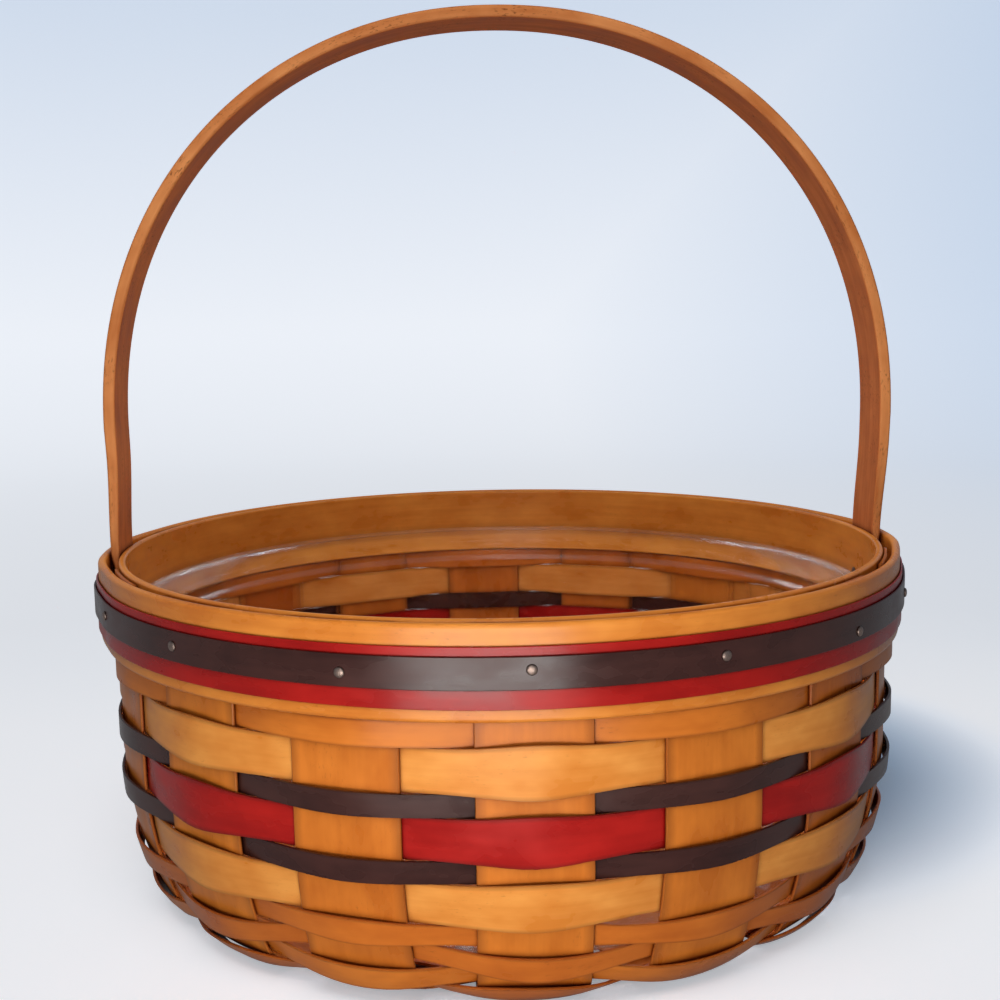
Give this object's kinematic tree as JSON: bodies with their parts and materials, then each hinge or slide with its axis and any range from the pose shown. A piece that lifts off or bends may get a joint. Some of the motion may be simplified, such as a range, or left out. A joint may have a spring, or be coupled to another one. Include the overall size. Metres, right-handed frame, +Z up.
{
  "type": "basket",
  "caption": "Round woven splint basket with a nailed double rim band, a fixed arched handle and a clear liner that lifts out.",
  "frame": {"origin": "on the table under the middle of the basket", "axes": "+Z up, the handle's arch in the XZ plane, -Y towards the front"},
  "size_m": [0.296, 0.2928, 0.309],
  "materials": {
    "splint": "satin stained splint",
    "splint_pale": "satin stained splint",
    "band": "satin stained band",
    "handle": "satin stained strap",
    "red_stain": "satin red stain",
    "dark_stain": "satin dark stain",
    "nail": "satin",
    "liner": "clear gloss"
  },
  "bodies": {
    "basket": {"upright_splint_1": "splint", "upright_splint_2": "splint", "upright_splint_3": "splint", "upright_splint_4": "splint", "upright_splint_5": "splint", "upright_splint_6": "splint", "upright_splint_7": "splint", "upright_splint_8": "splint", "row_01_narrow": "splint", "row_02_wide": "splint_pale", "row_03_dark": "dark_stain", "row_04_red": "red_stain", "row_05_dark": "dark_stain", "row_06_wide": "splint_pale", "row_07_narrow": "splint", "row_08_narrow": "splint", "row_09_narrow": "splint", "row_10_narrow": "splint", "base_row_outer": "splint", "base_row_inner": "splint", "inner_band": "band", "outer_band": "band", "red_trim": "red_stain", "dark_trim": "dark_stain", "handle": "handle", "rim_nail_01": "nail", "rim_nail_02": "nail", "rim_nail_03": "nail", "rim_nail_04": "nail", "rim_nail_05": "nail", "rim_nail_06": "nail", "rim_nail_07": "nail", "rim_nail_08": "nail", "rim_nail_09": "nail", "rim_nail_10": "nail", "rim_nail_11": "nail", "rim_nail_12": "nail", "rim_nail_13": "nail", "rim_nail_14": "nail", "rim_nail_15": "nail", "rim_nail_16": "nail", "handle_tack_1": "nail", "handle_tack_2": "nail"},
    "liner": {"liner": "liner"}
  },
  "joints": [
    {"name": "liner_lift", "type": "slide", "parent": "basket", "child": "liner", "axis": [0, 0, 1], "range_m": [0, 0.095]}
  ]
}
